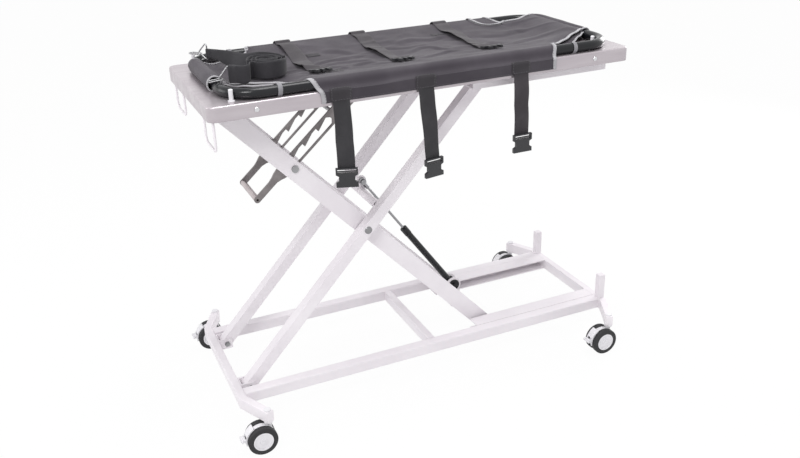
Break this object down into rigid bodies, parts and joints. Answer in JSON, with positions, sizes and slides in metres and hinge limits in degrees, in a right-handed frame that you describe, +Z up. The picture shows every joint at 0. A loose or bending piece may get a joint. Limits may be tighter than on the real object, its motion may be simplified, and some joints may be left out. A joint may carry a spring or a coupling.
{
  "type": "veterinary transport trolley",
  "caption": "Scissor-lift trolley on swivel casters with a pressed tray table, gas spring, toothed height lock and a lift-off fabric stretcher with straps.",
  "frame": {"origin": "floor, centre of the overall box", "axes": "+X along the length toward the end with posts, +Y toward the far side, +Z up"},
  "size_m": [1.134, 0.593, 0.9221],
  "materials": {
    "white_paint": "satin",
    "table_sheet": "satin",
    "zinc_steel": "satin",
    "rack_steel": "satin",
    "white_plastic": "matte",
    "grey_plastic": "matte",
    "tyre_rubber": "matte",
    "black_paint": "gloss",
    "rod_chrome": "polished",
    "bed_cloth": "matte",
    "webbing": "matte",
    "black_plastic": "matte"
  },
  "bodies": {
    "base": {"base_rail_near": "white_paint", "base_rail_far": "white_paint", "end_bar_left": "white_paint", "end_bar_right": "white_paint", "middle_crossbar": "white_paint", "lower_tracks": "white_paint", "end_posts": "white_paint", "foot_brackets": "white_paint", "foot_bolts": "zinc_steel"},
    "legs_a": {"leg_a_near": "white_paint", "leg_a_far": "white_paint", "cross_tube_a": "white_paint", "leg_a_bolts": "zinc_steel"},
    "upper_rollers": {"upper_rollers": "grey_plastic"},
    "legs_b": {"leg_b_near": "white_paint", "leg_b_far": "white_paint", "cross_tube_b": "white_paint"},
    "lower_rollers": {"lower_rollers": "grey_plastic"},
    "spring_rod": {"spring_rod": "rod_chrome"},
    "spring_cylinder": {"spring_cylinder": "black_paint", "spring_foot_bolt": "black_paint"},
    "lock_rod": {"lock_rod": "zinc_steel"},
    "rack_pivot": {"rack_pivot_tube": "rack_steel"},
    "rack": {"rack_plate_near": "rack_steel", "rack_plate_far": "rack_steel", "rack_handle": "zinc_steel", "rack_tie_rod": "zinc_steel"},
    "table": {"table_top": "table_sheet", "upper_tracks": "white_paint", "cross_members": "white_paint", "head_brackets": "white_paint", "head_bolts": "zinc_steel", "rack_hangers": "white_paint", "skirt_bolts": "zinc_steel", "tie_loops": "white_paint", "tube_pegs": "white_plastic"},
    "stretcher": {"stretcher_tube": "black_paint", "stretcher_bed": "bed_cloth", "cross_straps": "webbing", "hanging_straps": "webbing", "buckles": "black_plastic", "carry_strap": "webbing", "strap_rings": "zinc_steel"},
    "caster_near_left": {"caster_near_left_hood": "white_plastic"},
    "caster_near_left_wheels": {"caster_near_left_hubs": "white_plastic", "caster_near_left_tyres": "tyre_rubber"},
    "caster_near_left_pedal": {"caster_near_left_pedal": "white_plastic"},
    "caster_far_left": {"caster_far_left_hood": "white_plastic"},
    "caster_far_left_wheels": {"caster_far_left_hubs": "white_plastic", "caster_far_left_tyres": "tyre_rubber"},
    "caster_far_left_pedal": {"caster_far_left_pedal": "white_plastic"},
    "caster_near_right": {"caster_near_right_hood": "white_plastic"},
    "caster_near_right_wheels": {"caster_near_right_hubs": "white_plastic", "caster_near_right_tyres": "tyre_rubber"},
    "caster_near_right_pedal": {"caster_near_right_pedal": "white_plastic"},
    "caster_far_right": {"caster_far_right_hood": "white_plastic"},
    "caster_far_right_wheels": {"caster_far_right_hubs": "white_plastic", "caster_far_right_tyres": "tyre_rubber"},
    "caster_far_right_pedal": {"caster_far_right_pedal": "white_plastic"}
  },
  "joints": [
    {"name": "lift", "type": "hinge", "parent": "base", "child": "legs_a", "pos_m": [-0.4999, 0, 0.095], "axis": [0, 1, 0], "range_deg": [0, 33.7]},
    {"name": "scissor", "type": "hinge", "parent": "legs_a", "child": "legs_b", "pos_m": [-0.15219, 0, 0.46398], "axis": [0, 1, 0], "range_deg": [-67.5, 0]},
    {"name": "table_level", "type": "hinge", "parent": "legs_b", "child": "table", "pos_m": [-0.4855, 0, 0.81769], "axis": [0, 1, 0], "range_deg": [0, 33.8]},
    {"name": "upper_roll", "type": "hinge", "parent": "legs_a", "child": "upper_rollers", "pos_m": [0.18112, 0, 0.81769], "axis": [0, 1, 0], "continuous": true},
    {"name": "lower_roll", "type": "hinge", "parent": "legs_b", "child": "lower_rollers", "pos_m": [0.19553, 0, 0.095], "axis": [0, 1, 0], "continuous": true},
    {"name": "spring_swing", "type": "hinge", "parent": "legs_a", "child": "spring_rod", "pos_m": [-0.10999, 0, 0.54376], "axis": [0, 1, 0], "range_deg": [-67.84, 0]},
    {"name": "spring_stroke", "type": "slide", "parent": "spring_rod", "child": "spring_cylinder", "axis": [-0.5801, 0, 0.8145], "range_m": [0, 0.10195]},
    {"name": "lock_turn", "type": "hinge", "parent": "legs_b", "child": "lock_rod", "pos_m": [-0.32142, 0, 0.6494], "axis": [0, 1, 0], "range_deg": [0, 49.13]},
    {"name": "rack_slide", "type": "slide", "parent": "lock_rod", "child": "rack_pivot", "axis": [-0.7513, 0, -0.66], "range_m": [0, 0.12466]},
    {"name": "rack_drop", "type": "hinge", "parent": "rack_pivot", "child": "rack", "pos_m": [-0.13593, 0, 0.81769], "axis": [0, -1, 0], "range_deg": [-0.8, 2]},
    {"name": "stretcher_lift", "type": "slide", "parent": "table", "child": "stretcher", "axis": [0, 0, 1], "range_m": [0, 0.3]},
    {"name": "caster_near_left_swivel", "type": "hinge", "parent": "base", "child": "caster_near_left", "pos_m": [-0.493, -0.272, 0.06], "axis": [0, 0, 1], "continuous": true},
    {"name": "caster_near_left_roll", "type": "hinge", "parent": "caster_near_left", "child": "caster_near_left_wheels", "pos_m": [-0.515, -0.272, 0.0375], "axis": [0, 1, 0], "continuous": true},
    {"name": "caster_near_left_brake", "type": "hinge", "parent": "caster_near_left", "child": "caster_near_left_pedal", "pos_m": [-0.5575, -0.272, 0.0445], "axis": [0, -1, 0], "range_deg": [0, 12]},
    {"name": "caster_far_left_swivel", "type": "hinge", "parent": "base", "child": "caster_far_left", "pos_m": [-0.493, 0.272, 0.06], "axis": [0, 0, 1], "continuous": true},
    {"name": "caster_far_left_roll", "type": "hinge", "parent": "caster_far_left", "child": "caster_far_left_wheels", "pos_m": [-0.515, 0.272, 0.0375], "axis": [0, 1, 0], "continuous": true},
    {"name": "caster_far_left_brake", "type": "hinge", "parent": "caster_far_left", "child": "caster_far_left_pedal", "pos_m": [-0.5575, 0.272, 0.0445], "axis": [0, -1, 0], "range_deg": [0, 12]},
    {"name": "caster_near_right_swivel", "type": "hinge", "parent": "base", "child": "caster_near_right", "pos_m": [0.517, -0.272, 0.06], "axis": [0, 0, 1], "continuous": true},
    {"name": "caster_near_right_roll", "type": "hinge", "parent": "caster_near_right", "child": "caster_near_right_wheels", "pos_m": [0.495, -0.272, 0.0375], "axis": [0, 1, 0], "continuous": true},
    {"name": "caster_near_right_brake", "type": "hinge", "parent": "caster_near_right", "child": "caster_near_right_pedal", "pos_m": [0.4525, -0.272, 0.0445], "axis": [0, -1, 0], "range_deg": [0, 12]},
    {"name": "caster_far_right_swivel", "type": "hinge", "parent": "base", "child": "caster_far_right", "pos_m": [0.517, 0.272, 0.06], "axis": [0, 0, 1], "continuous": true},
    {"name": "caster_far_right_roll", "type": "hinge", "parent": "caster_far_right", "child": "caster_far_right_wheels", "pos_m": [0.495, 0.272, 0.0375], "axis": [0, 1, 0], "continuous": true},
    {"name": "caster_far_right_brake", "type": "hinge", "parent": "caster_far_right", "child": "caster_far_right_pedal", "pos_m": [0.4525, 0.272, 0.0445], "axis": [0, -1, 0], "range_deg": [0, 12]}
  ],
  "couplings": [
    {"joint": "scissor", "follows": "lift", "ratio": -2},
    {"joint": "table_level", "follows": "lift", "ratio": 1},
    {"joint": "spring_swing", "follows": "lift", "ratio": -2.01},
    {"joint": "spring_stroke", "follows": "lift", "m_per_rad": 0.173},
    {"joint": "lock_turn", "follows": "lift", "ratio": 1.455},
    {"joint": "rack_slide", "follows": "lift", "m_per_rad": 0.2116}
  ]
}
